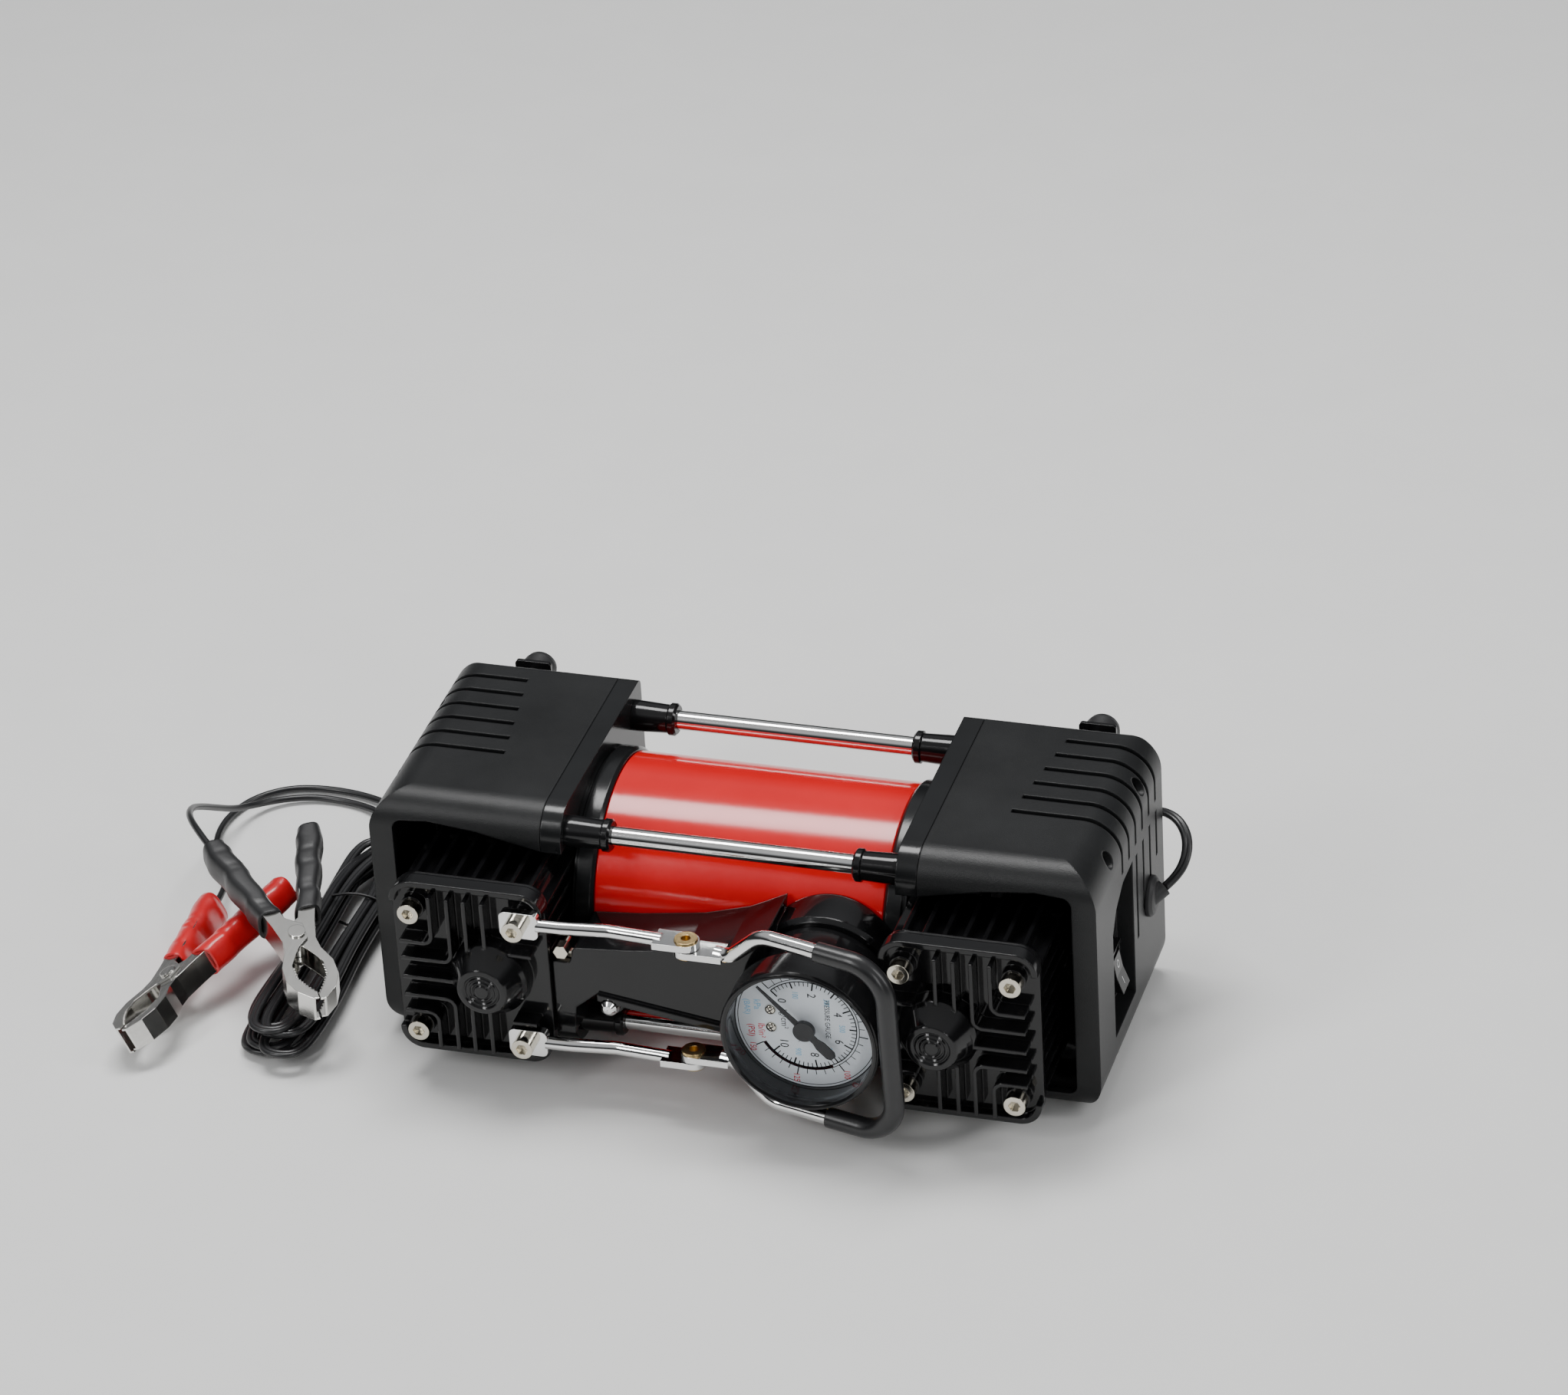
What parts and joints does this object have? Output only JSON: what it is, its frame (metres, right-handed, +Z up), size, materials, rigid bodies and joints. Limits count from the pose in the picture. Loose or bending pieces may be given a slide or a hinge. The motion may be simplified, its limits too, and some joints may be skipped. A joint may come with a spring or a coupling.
{
  "type": "air compressor",
  "caption": "Portable twin-cylinder air compressor with red motor can, ribbed heads, dial gauge, carry handle, rocker switch and a corded pair of battery clamps.",
  "frame": {"origin": "middle of the compressor's bounding box seen from above, cord left out, at the height of the surface it lies on", "axes": "+X along the motor axis towards the end with the rocker switch, +Y towards the side with the rubber feet, +Z up, with the vent slots on top and the cylinder heads at -Y"},
  "size_m": [0.4168, 0.2077, 0.1076],
  "materials": {
    "black_plastic": "satin, fine texture",
    "red_paint": "high gloss enamel",
    "chrome": "polished",
    "black_cast": "gloss enamel on cast aluminium",
    "cast_alloy": "as cast",
    "brass": "plated, bright",
    "steel": "nickel plated",
    "winding": "lacquered stack",
    "magnet": "dull",
    "rubber": "matte",
    "gauge_black": "gloss",
    "dial_white": "printed",
    "lens": "clear",
    "cord_black": "satin",
    "red_vinyl": "gloss",
    "clamp_steel": "zinc plated"
  },
  "bodies": {
    "frame": {"motor_can": "red_paint", "motor_collars": "black_plastic", "motor_magnets": "magnet", "motor_brushes": "winding", "shaft_bushes": "brass", "left_flange_plate": "black_plastic", "right_flange_plate": "black_plastic", "left_cylinder_block": "black_cast", "right_cylinder_block": "black_cast", "left_valve_plate": "black_cast", "right_valve_plate": "black_cast", "left_head_cover": "black_cast", "right_head_cover": "black_cast", "head_bolts": "steel", "left_end_cover": "black_plastic", "right_end_cover": "black_plastic", "cover_screws": "steel", "tie_rods": "chrome", "rod_sockets": "black_cast", "foot_plates": "gauge_black", "rubber_feet": "rubber", "manifold": "black_cast", "hose_nipple": "brass", "relief_valve": "steel", "manifold_nut": "steel", "gauge_case": "gauge_black", "gauge_dial": "dial_white", "gauge_lens": "lens", "upper_handle_arm": "chrome", "lower_handle_arm": "chrome", "handle_eyelets": "brass", "switch_housing": "gauge_black", "cord_relief": "cord_black", "power_cord": "cord_black", "cord_hank": "cord_black", "cord_tie": "cord_black", "red_lead": "cord_black", "black_lead": "cord_black", "red_clamp_base": "clamp_steel", "red_base_sleeve": "red_vinyl", "black_clamp_base": "clamp_steel", "black_base_sleeve": "cord_black", "clamp_rivets": "clamp_steel", "clamp_springs": "clamp_steel"},
    "motor_spin": {"motor_armature": "winding", "motor_shaft": "steel", "left_crank": "cast_alloy", "right_crank": "cast_alloy"},
    "left_piston": {"left_piston_rod": "cast_alloy", "left_piston_cup": "rubber"},
    "right_piston": {"right_piston_rod": "cast_alloy", "right_piston_cup": "rubber"},
    "needle": {"gauge_needle": "gauge_black"},
    "handle": {"carry_handle": "chrome", "handle_sleeve": "rubber"},
    "rocker": {"switch_rocker": "gauge_black"},
    "red_jaw": {"red_clamp_jaw": "clamp_steel", "red_jaw_sleeve": "red_vinyl"},
    "black_jaw": {"black_clamp_jaw": "clamp_steel", "black_jaw_sleeve": "cord_black"}
  },
  "joints": [
    {"name": "motor_turn", "type": "hinge", "parent": "frame", "child": "motor_spin", "pos_m": [0, 0.0131, 0.0538], "axis": [1, 0, 0], "continuous": true},
    {"name": "left_stroke", "type": "slide", "parent": "frame", "child": "left_piston", "axis": [0, 1, 0], "range_m": [0, 0.02]},
    {"name": "right_stroke", "type": "slide", "parent": "frame", "child": "right_piston", "axis": [0, 1, 0], "range_m": [0, 0.02]},
    {"name": "needle_turn", "type": "hinge", "parent": "frame", "child": "needle", "pos_m": [0.0383, -0.0719, 0.0487], "axis": [0, 1, 0], "range_deg": [0, 270], "stiffness_Nm_per_rad": 0.0002},
    {"name": "handle_swing", "type": "hinge", "parent": "frame", "child": "handle", "pos_m": [-0.0084, -0.0669, 0.0538], "axis": [0, 0, 1], "range_deg": [-110, 0]},
    {"name": "rocker_tilt", "type": "hinge", "parent": "frame", "child": "rocker", "pos_m": [0.1375, 0.0041, 0.0383], "axis": [0, 1, 0], "range_deg": [0, 28]},
    {"name": "red_jaw_pivot", "type": "hinge", "parent": "frame", "child": "red_jaw", "pos_m": [-0.2281, -0.0478, 0.0144], "axis": [-0.4404, 0.0206, 0.8976], "range_deg": [0, 9], "stiffness_Nm_per_rad": 0.4, "springref_deg": -17.19},
    {"name": "black_jaw_pivot", "type": "hinge", "parent": "frame", "child": "black_jaw", "pos_m": [-0.1795, -0.0363, 0.0331], "axis": [0.0946, -0.1456, 0.9848], "range_deg": [0, 9], "stiffness_Nm_per_rad": 0.4, "springref_deg": -17.19}
  ]
}
